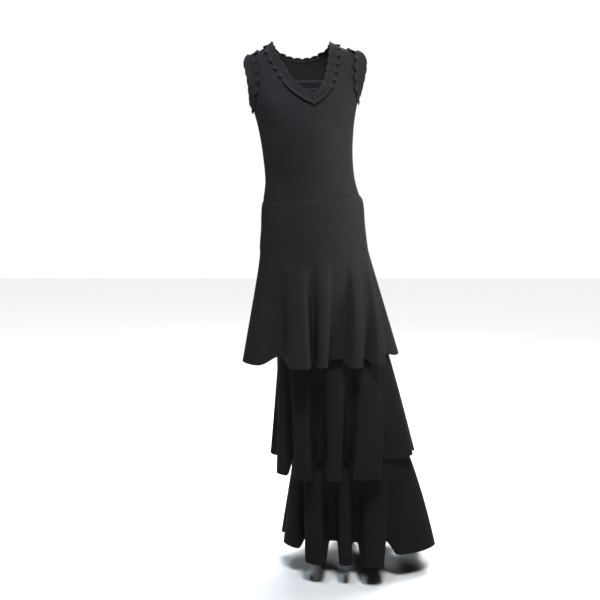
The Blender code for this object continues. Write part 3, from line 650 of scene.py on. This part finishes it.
def trim_grid(place, direction, widen, phase, petals, inner, outer, point, flare, ridge=0.0):
    """Points of a trim, from its free edge over its cord to its edge on the cloth."""
    side = numpy.linspace(-1.0, 1.0, TRIM_ACROSS + 1)[:, None]
    scallop = numpy.sin(math.pi * phase) ** SCALLOP_ROUNDNESS
    inner_edge = inner + INNER_SCALLOP * mix(INNER_PLAIN, scallop, petals)
    outer_edge = outer + point * mix(OUTER_PLAIN, zigzag(phase), petals)
    edge = numpy.where(side < 0, inner_edge, outer_edge)
    size = numpy.abs(side) * edge
    row = numpy.clip((size - STITCH_AWAY) / (edge - STITCH_AWAY), 0.0, 1.0)
    swell = PETAL_SWELL * numpy.sin(math.pi * row ** SWELL_LEAN)
    lift = CORD_HEIGHT * mix(CORD_PLAIN, 1.0, petals) * numpy.exp(-(size / CORD_WIDTH) ** 2)
    stitch = STITCH_DEPTH * numpy.exp(-((size - STITCH_AWAY) / STITCH_WIDTH) ** 2)
    lift = lift - stitch * numpy.where(side < 0, petals, 1.0)
    tile = phase * smooth_step((1.0 - phase) / SWELL_FALL)
    lift = lift + swell * mix(SWELL_PLAIN, tile, petals)
    lift = lift + numpy.where(side < 0, flare * row ** 2, 0.0)
    back = smooth_step((phase - EDGE_START) / EDGE_RISE) * smooth_step((1.0 - phase) / EDGE_FALL)
    stand = EDGE_LIFT * petals * back + COLLAR_LIFT * (1.0 - petals)
    rim = COLLAR_RIM * numpy.exp(-((row - RIM_PLACE) / COLLAR_FOLD) ** 2)
    rim = rim - COLLAR_GROOVE * numpy.exp(-((row - GROOVE_PLACE) / COLLAR_FOLD) ** 2)
    lift = lift + numpy.where(side > 0, stand * row ** 2 + rim * (1.0 - petals), 0.0) + ridge
    turn, rise = across_slopes(*place, direction)
    reach = side * edge * widen
    return form_point(place[0] + turn * reach, place[1] + rise * reach, TRIM_CLEAR + WALL + lift)


def trim_places(at):
    """Places of a trim's grid in its pattern: across the trim, and along it."""
    reach = numpy.linspace(-1.0, 1.0, TRIM_ACROSS + 1)[:, None] * NECK_HALF_WIDTH
    return numpy.stack(numpy.broadcast_arrays(reach, at[None, :]), -1)


def mitred(direction, widen, plane, away, fan):
    """Directions across the trim, turned into a seam's plane beside the seam, and their widening."""
    share = (1.0 - smooth_step(away / fan))[:, None]
    turned = unit(direction - plane * (direction @ plane)[:, None] * share)
    return turned, widen * numpy.minimum(1.0 / (turned * direction).sum(-1), MITRE_LIMIT)


def add_wall(name, grids, places, material, welds=()):
    """Cloth wall of even thickness on one or more grids, welded where their edges meet."""
    points = numpy.concatenate([grid.reshape(-1, 3) for grid in grids])
    flat = numpy.concatenate([place.reshape(-1, 2) for place in places])
    faces, indices, start = [], [], 0
    for grid in grids:
        count, columns = grid.shape[:2]
        indices.append(numpy.arange(count * columns).reshape(count, columns) + start)
        start += count * columns
    for first, second, rows in welds:
        indices[second][rows, 0] = indices[first][rows, -1]
    for index in indices:
        corners = (index[:-1, :-1], index[1:, :-1], index[1:, 1:], index[:-1, 1:])
        faces += numpy.stack(corners, -1).reshape(-1, 4).tolist()
    piece = new_piece(name, points, faces, flat, material)
    mesh = bmesh.new()
    mesh.from_mesh(piece.data)
    loose = [vert for vert in mesh.verts if not vert.link_faces]
    bmesh.ops.delete(mesh, geom=loose, context="VERTS")
    mesh.to_mesh(piece.data)
    mesh.free()
    wall = piece.modifiers.new("Wall", "SOLIDIFY")
    wall.thickness = WALL
    wall.offset = -1.0
    apply_modifiers(piece)
    piece.data.set_sharp_from_angle(angle=SHARP_ANGLE)
    return piece


def apply_modifiers(piece):
    """Apply every modifier of a piece, with nothing else selected."""
    bpy.ops.object.select_all(action="DESELECT")
    bpy.context.view_layer.objects.active = piece
    piece.select_set(True)
    for modifier in list(piece.modifiers):
        bpy.ops.object.modifier_apply(modifier=modifier.name)
    piece.select_set(False)


def make_bodice(material):
    """Front and back of the bodice in fine vertical rib."""
    for name, table, panel, sides in (("bodice_front", NECK_FRONT, FRONT_PANEL, (-1, 1)),
                                      ("bodice_back", NECK_BACK, BACK_PANEL, (1, -1))):
        grids, places = [], []
        for side in sides:
            angle, height = panel_half(table, side, BODICE_ROWS, BODICE_COLUMNS)
            grids.append(form_point(angle, height, bodice_relief(angle, height)))
            places.append(numpy.stack((angle * BODICE_RADIUS, height), -1))
        joined = numpy.arange(panel.neck_rows, 2 * BODICE_ROWS + 1)
        piece = add_wall(name + "_knit", grids, places, material, [(0, 1, joined)])
        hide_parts(name)


def crease_relief(creases, angle, height):
    """Depth of the soft creases at angles and heights of the tube."""
    relief = numpy.zeros_like(angle)
    for crease in creases:
        start = numpy.array((math.radians(crease.angle) * BODICE_RADIUS, crease.height))
        end = numpy.array((math.radians(crease.end_angle) * BODICE_RADIUS, crease.end_height))
        place = numpy.stack((angle * BODICE_RADIUS, height), -1) - start
        run = end - start
        share = numpy.clip((place @ run) / (run @ run), 0.0, 1.0)
        away = numpy.linalg.norm(place - share[..., None] * run, axis=-1)
        relief = relief - crease.depth * numpy.exp(-(away / crease.width) ** 2)
    return relief


def bodice_relief(angle, height):
    """How far the bodice stands off the tube: its creases, and its tuck into the waist seam."""
    tuck = numpy.exp(-((height - WAIST_SEAM) / SEAM_TUCK_WIDTH) ** 2)
    return crease_relief(BODICE_CREASES, angle, height) - SEAM_TUCK * tuck


def tube_angles(height, columns, back, out=0.0):
    """Angles across the front or back half of the tube at each height."""
    section = read_table(FORM, height)
    limit = math.pi / 2 - seam_inset(section, (section.back if back else section.front) + out)
    middle = math.pi if back else 0.0
    return middle + limit[:, None] * numpy.linspace(-1.0, 1.0, columns + 1)[None, :]


def make_yoke(material):
    """Hip yoke in horizontal rib, between the waist seam and the upper flounce."""
    top = WAIST_SEAM - SEAM_GAP
    shares, ribs, pattern = rib_rows(top - FLOUNCE_SEAM)
    height = mix(top, FLOUNCE_SEAM, shares)
    for name, back in (("yoke_front", False), ("yoke_back", True)):
        angle = tube_angles(height, YOKE_COLUMNS, back)
        across = numpy.broadcast_to(height[:, None], angle.shape)
        grid = form_point(angle, across)
        tuck = SEAM_TUCK * numpy.exp(-((across - top) / SEAM_TUCK_WIDTH) ** 2)
        places = numpy.stack(numpy.broadcast_arrays(angle * BODICE_RADIUS, pattern[:, None]), -1)
        piece = add_shell(name + "_knit", grid, ribs[:, None] - tuck, places, material, RIB_ROWS)
        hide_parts(name)


def make_underskirt(material):
    """Plain tube that carries the middle and the lower flounce."""
    height = numpy.linspace(UNDERSKIRT_TOP, UNDERSKIRT_HEM, UNDERSKIRT_ROWS + 1)
    inset = -(WALL + UNDERSKIRT_CLEAR)
    for name, back in (("underskirt_front", False), ("underskirt_back", True)):
        angle = tube_angles(height, UNDERSKIRT_COLUMNS, back, inset)
        across = numpy.broadcast_to(height[:, None], angle.shape)
        grid = form_point(angle, across, inset)
        places = numpy.stack((angle * BODICE_RADIUS, across), -1)
        piece = add_shell(name + "_knit", grid, numpy.zeros(angle.shape), places, material)
        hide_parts(name)


def make_flounces(ribbed_material, plain_material):
    """Three flounces in a front and a back piece each, in flutes that deepen to the hem."""
    for flounce in FLOUNCES:
        length = flounce.top - flounce.hem.height
        if flounce.name == "flounce_upper":
            carrier, material, every = "yoke", ribbed_material, RIB_ROWS
            shares, ribs, pattern = rib_rows(length)
        else:
            carrier, material, every = "underskirt", plain_material, 1
            shares = numpy.linspace(0.0, 1.0, FLOUNCE_ROWS + 1)
            ribs, pattern = numpy.zeros(FLOUNCE_ROWS + 1), -length * shares
        quarter = math.pi / 2 - 0.5 * SIDE_GAP / flounce.hem.front
        for word, middle in (("front", 0.0), ("back", math.pi)):
            angles = even_angles(flounce, middle - quarter, middle + quarter, FLOUNCE_COLUMNS)
            grid = flounce_point(flounce, angles[None, :], shares[:, None])
            along = line_length(grid[-1])[None, :]
            places = numpy.stack(numpy.broadcast_arrays(along, pattern[:, None]), -1)
            relief = numpy.broadcast_to(ribs[:, None], grid.shape[:2])
            name = flounce.name + "_" + word
            piece = add_shell(name + "_knit", grid, relief, places, material, every)
            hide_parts(name)


def neck_trim_piece(trim, path, seams, from_shoulder, material):
    """One length of the neck trim, with its ends in the planes of its seams."""
    length = path_length(path)
    steps = round(length / trim.petal * PETAL_STEPS)
    at = numpy.linspace(0.5 * seams[0].gap, length - 0.5 * seams[1].gap, steps + 1)
    place = at_distances(path, at)
    along = unit(numpy.gradient(form_point(*place), axis=0))
    direction = unit(numpy.cross(along, form_normal(*place)))
    widen = numpy.ones(len(at))
    for seam, away in zip(seams, (at - at[0], at[-1] - at)):
        direction, widen = mitred(direction, widen, numpy.array(seam.plane), away, seam.fan)
    down = at if from_shoulder else length - at
    phase = (down / trim.petal) % 1.0
    petals = numpy.ones(len(at))
    if trim.plain:
        petals = smooth_step((length - down - trim.plain) / trim.fade)
    centre = numpy.exp(-((length - down) / MITRE_RIDGE_WIDTH) ** 2) if trim.plain else 0.0
    grid = trim_grid(place, direction, widen, phase, petals, NECK_HALF_WIDTH, NECK_HALF_WIDTH, trim.point,
                     EDGE_LIFT * NECK_FLARE_SHARE, MITRE_RIDGE * centre)
    piece = add_wall(trim.name + "_knit", [grid], [trim_places(at)], material)
    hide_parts(trim.name)


def make_neck_trim(material):
    """Neck trim in three lengths, mitred at the centre front and joined at the shoulders."""
    shoulder = TrimSeam((0.0, 1.0, 0.0), SHOULDER_FAN, SHOULDER_GAP)
    centre = TrimSeam((1.0, 0.0, 0.0), MITRE_FAN, MITRE_GAP)
    left = neck_path(NECK_FRONT, -1)
    right = tuple(values[::-1] for values in neck_path(NECK_FRONT, 1))
    over, under = neck_path(NECK_BACK, 1), neck_path(NECK_BACK, -1)
    back = tuple(numpy.append(a, b[-2::-1]) for a, b in zip(over, under))
    neck_trim_piece(NECK_TRIM_LEFT, left, (shoulder, centre), True, material)
    neck_trim_piece(NECK_TRIM_RIGHT, right, (centre, shoulder), False, material)
    neck_trim_piece(NECK_TRIM_BACK, back, (shoulder, shoulder), True, material)


def make_armhole_trims(material):
    """A scalloped ring round each armhole, whose free edge stands out from the opening."""
    for name, side in (("armhole_trim_left", -1), ("armhole_trim_right", 1)):
        path = armhole_edge(side, side * numpy.linspace(0.0, 2 * math.pi, 2 * PATH_STEPS + 1))
        length = path_length(path)
        petals = round(length / ARMHOLE_PETAL)
        at = numpy.linspace(0.0, length, petals * PETAL_STEPS + 1)
        place = at_distances(path, at)
        points = form_point(*place)
        along = numpy.gradient(numpy.concatenate((points[-2:-1], points, points[1:2])), axis=0)[1:-1]
        direction = unit(numpy.cross(along, form_normal(*place)))
        turn = 360.0 * at / length
        phase = (at * petals / length) % 1.0
        if side < 0:
            turn, phase = 360.0 - turn, (1.0 - phase) % 1.0
        row = read_table(ARMHOLE_TRIM, turn)
        grid = trim_grid(place, direction, 1.0, phase, numpy.ones(len(at)), row.inner, row.outer,
                         ARMHOLE_POINT, row.flare)
        grid[:, -1] = grid[:, 0]
        rows = numpy.arange(TRIM_ACROSS + 1)
        piece = add_wall(name + "_knit", [grid], [trim_places(at)], material, [(0, 0, rows)])
        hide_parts(name)


def make_straps(material):
    """Two slim crowned straps across the neck, held under the neck trim at both ends."""
    for strap in STRAPS:
        side = numpy.linspace(1.0, -1.0, STRAP_ACROSS + 1)
        height = strap.height + STRAP_HALF_DEPTH * side
        row = read_table(NECK_FRONT, height)
        share = numpy.linspace(0.0, 1.0, STRAP_COLUMNS + 1)[None, :]
        x = mix((row.left + STRAP_END_INSET)[:, None], (row.right - STRAP_END_INSET)[:, None], share)
        height = numpy.broadcast_to(height[:, None], x.shape)
        out = STRAP_OUT + STRAP_CROWN * (1.0 - side[:, None] ** 2)
        grid = form_point(angle_at(x, height), height, out)
        places = numpy.stack((height, x), -1)
        piece = add_wall(strap.name + "_knit", [grid], [places], material)
        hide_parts(strap.name)


def new_tree_group(name, inputs, outputs):
    """Empty shader node group with its sockets, and its two end nodes."""
    group = bpy.data.node_groups.new(name, "ShaderNodeTree")
    for label, kind in inputs:
        group.interface.new_socket(label, in_out="INPUT", socket_type=kind)
    for label, kind in outputs:
        group.interface.new_socket(label, in_out="OUTPUT", socket_type=kind)
    return group, group.nodes.new("NodeGroupInput"), group.nodes.new("NodeGroupOutput")


def add_math(group, kind, first, second=0.0, clamp=False):
    """Math node on links or numbers, giving its output."""
    node = group.nodes.new("ShaderNodeMath")
    node.operation = kind
    node.use_clamp = clamp
    for socket, value in zip(node.inputs, (first, second)):
        if isinstance(value, (int, float)):
            socket.default_value = value
        else:
            group.links.new(value, socket)
    return node.outputs[0]


def add_noise(group, scale, detail):
    """Noise on the piece's own coordinates, giving its output."""
    coords = group.nodes.new("ShaderNodeTexCoord")
    noise = group.nodes.new("ShaderNodeTexNoise")
    noise.inputs["Scale"].default_value = scale
    noise.inputs["Detail"].default_value = detail
    group.links.new(coords.outputs["Object"], noise.inputs["Vector"])
    return noise.outputs["Fac"]


def knit_group():
    """Knit: ribs across one direction of the cloth, stitches along them, and fuzz between."""
    group, start, end = new_tree_group("rib_knit", (
        ("Across", "NodeSocketVector"), ("Along", "NodeSocketVector"), ("Ribs", "NodeSocketFloat"),
        ("Stitches", "NodeSocketFloat"), ("Depth", "NodeSocketFloat"), ("Valley", "NodeSocketColor"),
        ("Crest", "NodeSocketColor"),
    ), (("Color", "NodeSocketColor"), ("Roughness", "NodeSocketFloat"), ("Height", "NodeSocketFloat")))
    place = group.nodes.new("ShaderNodeUVMap")
    place.uv_map = "cloth"
    waves = []
    for direction, count in (("Across", "Ribs"), ("Along", "Stitches")):
        dot = group.nodes.new("ShaderNodeVectorMath")
        dot.operation = "DOT_PRODUCT"
        group.links.new(place.outputs["UV"], dot.inputs[0])
        group.links.new(start.outputs[direction], dot.inputs[1])
        turns = add_math(group, "MULTIPLY", dot.outputs["Value"], start.outputs[count])
        wave = add_math(group, "SINE", add_math(group, "MULTIPLY", turns, math.pi))
        waves.append(add_math(group, "ABSOLUTE", wave))
    rib = add_math(group, "POWER", waves[0], RIB_ROUNDNESS)
    fuzz = add_noise(group, FUZZ_SCALE, FUZZ_DETAIL)
    broad = add_noise(group, BROAD_SCALE, BROAD_DETAIL)
    high = add_math(group, "MULTIPLY", rib, start.outputs["Depth"])
    high = add_math(group, "ADD", high, add_math(group, "MULTIPLY", waves[1], STITCH_RELIEF))
    high = add_math(group, "ADD", high, add_math(group, "MULTIPLY", fuzz, FUZZ_RELIEF))
    group.links.new(high, end.inputs["Height"])
    # Painted shade from the ribs, darker in their valleys and paler on their crests, with the yarn's fuzz
    # and broad unevenness added
    share = add_math(group, "MULTIPLY", rib, RIB_PAINTED_SHADE)
    share = add_math(group, "ADD", share, add_math(group, "MULTIPLY", fuzz, FUZZ_TONE))
    share = add_math(group, "ADD", share, add_math(group, "MULTIPLY", broad, BROAD_TONE), clamp=True)
    tone = group.nodes.new("ShaderNodeMix")
    tone.data_type = "RGBA"
    group.links.new(share, tone.inputs["Factor"])
    group.links.new(start.outputs["Valley"], tone.inputs["A"])
    group.links.new(start.outputs["Crest"], tone.inputs["B"])
    group.links.new(tone.outputs["Result"], end.inputs["Color"])
    rough = add_math(group, "ADD", LEAST_ROUGHNESS, add_math(group, "MULTIPLY", fuzz, FUZZ_ROUGHNESS))
    group.links.new(rough, end.inputs["Roughness"])
    return group


def knit_material(look, group):
    """Matt knit, its ribs as bump and as painted shade in its colour, and a faint sheen of fibre ends."""
    material = bpy.data.materials.new(look.name)
    material.use_nodes = True
    nodes, links = material.node_tree.nodes, material.node_tree.links
    shader = nodes["Principled BSDF"]
    knit = nodes.new("ShaderNodeGroup")
    knit.node_tree = group
    knit.inputs["Across"].default_value = (1.0, 0.0, 0.0) if look.across else (0.0, 1.0, 0.0)
    knit.inputs["Along"].default_value = (0.0, 1.0, 0.0) if look.across else (1.0, 0.0, 0.0)
    knit.inputs["Ribs"].default_value = 1.0 / look.spacing
    knit.inputs["Stitches"].default_value = look.stitches
    knit.inputs["Depth"].default_value = look.depth
    # The valley tone paints shade into the rib valleys and the crest tone paints light on the crests
    knit.inputs["Valley"].default_value = (*look.valley, 1.0)
    knit.inputs["Crest"].default_value = (*look.crest, 1.0)
    raised = nodes.new("ShaderNodeBump")
    raised.inputs["Strength"].default_value = BUMP_STRENGTH
    raised.inputs["Distance"].default_value = look.bump
    links.new(knit.outputs["Height"], raised.inputs["Height"])
    links.new(knit.outputs["Color"], shader.inputs["Base Color"])
    links.new(knit.outputs["Roughness"], shader.inputs["Roughness"])
    links.new(raised.outputs["Normal"], shader.inputs["Normal"])
    shader.inputs["Specular IOR Level"].default_value = KNIT_SPECULAR
    shader.inputs["Sheen Weight"].default_value = look.sheen
    shader.inputs["Sheen Roughness"].default_value = SHEEN_ROUGHNESS
    shader.inputs["Sheen Tint"].default_value = SHEEN_TINT
    return material


def make_floor():
    """Pale floor below the hem."""
    bpy.ops.object.select_all(action="DESELECT")
    bpy.ops.mesh.primitive_plane_add(size=FLOOR_SIZE, location=(0.0, 0.0, FLOOR_HEIGHT))
    floor = bpy.context.active_object
    floor.name = "floor"
    bpy.ops.object.transform_apply(location=True, rotation=True, scale=True)
    material = bpy.data.materials.new("floor")
    material.use_nodes = True
    shader = material.node_tree.nodes["Principled BSDF"]
    shader.inputs["Base Color"].default_value = FLOOR_TONE
    shader.inputs["Roughness"].default_value = FLOOR_ROUGHNESS
    floor.data.materials.append(material)


def make_lights():
    """Soft lamps in front, beside and behind, and a broad skylight from nearly overhead."""
    for light in LIGHTS:
        data = bpy.data.lights.new(light.name, "AREA")
        data.size = light.size
        data.energy = light.power
        data.color = light.colour
        data.spread = math.radians(light.throw)
        lamp = bpy.data.objects.new(light.name, data)
        lamp.location = light.place
        away = Vector(light.place) - Vector(light.aim)
        lamp.rotation_euler = away.to_track_quat("Z", "Y").to_euler()
        lamp.visible_camera = False
        bpy.context.scene.collection.objects.link(lamp)
    data = bpy.data.lights.new("skylight", "SUN")
    data.energy = SKYLIGHT_POWER
    data.angle = SKYLIGHT_SPREAD
    skylight = bpy.data.objects.new("skylight", data)
    skylight.rotation_euler = Vector(SKYLIGHT_PLACE).to_track_quat("Z", "Y").to_euler()
    bpy.context.scene.collection.objects.link(skylight)


def make_world():
    """White surround that lights the garment only faintly."""
    world = bpy.data.worlds.new("surround")
    world.use_nodes = True
    nodes, links = world.node_tree.nodes, world.node_tree.links
    seen = nodes["Background"]
    seen.inputs["Color"].default_value = (1.0, 1.0, 1.0, 1.0)
    faint = nodes.new("ShaderNodeBackground")
    faint.inputs["Strength"].default_value = SURROUND_LIGHT
    path = nodes.new("ShaderNodeLightPath")
    both = nodes.new("ShaderNodeMixShader")
    links.new(path.outputs["Is Camera Ray"], both.inputs["Fac"])
    links.new(faint.outputs["Background"], both.inputs[1])
    links.new(seen.outputs["Background"], both.inputs[2])
    links.new(both.outputs["Shader"], nodes["World Output"].inputs["Surface"])
    bpy.context.scene.world = world


def make_camera():
    """Camera in front of the garment, at the photo's distance and angle."""
    data = bpy.data.cameras.new("camera")
    data.sensor_width = SENSOR
    data.lens = FOCAL_PIXELS / FRAME_PIXELS * SENSOR
    camera = bpy.data.objects.new("camera", data)
    camera.location = CAMERA_PLACE
    camera.rotation_euler = (math.pi / 2 - CAMERA_DIP, 0.0, 0.0)
    bpy.context.scene.collection.objects.link(camera)
    bpy.context.scene.camera = camera


rib_knit = knit_group()
bodice_knit, yoke_knit, flounce_knit, underskirt_knit, trim_knit = [
    knit_material(look, rib_knit) for look in KNITS]

make_bodice(bodice_knit)
make_yoke(yoke_knit)
make_underskirt(underskirt_knit)
make_flounces(yoke_knit, flounce_knit)
make_neck_trim(trim_knit)
make_armhole_trims(trim_knit)
make_straps(trim_knit)
make_floor()
make_lights()
make_world()
make_camera()
bpy.context.scene.view_settings.view_transform = "Standard"
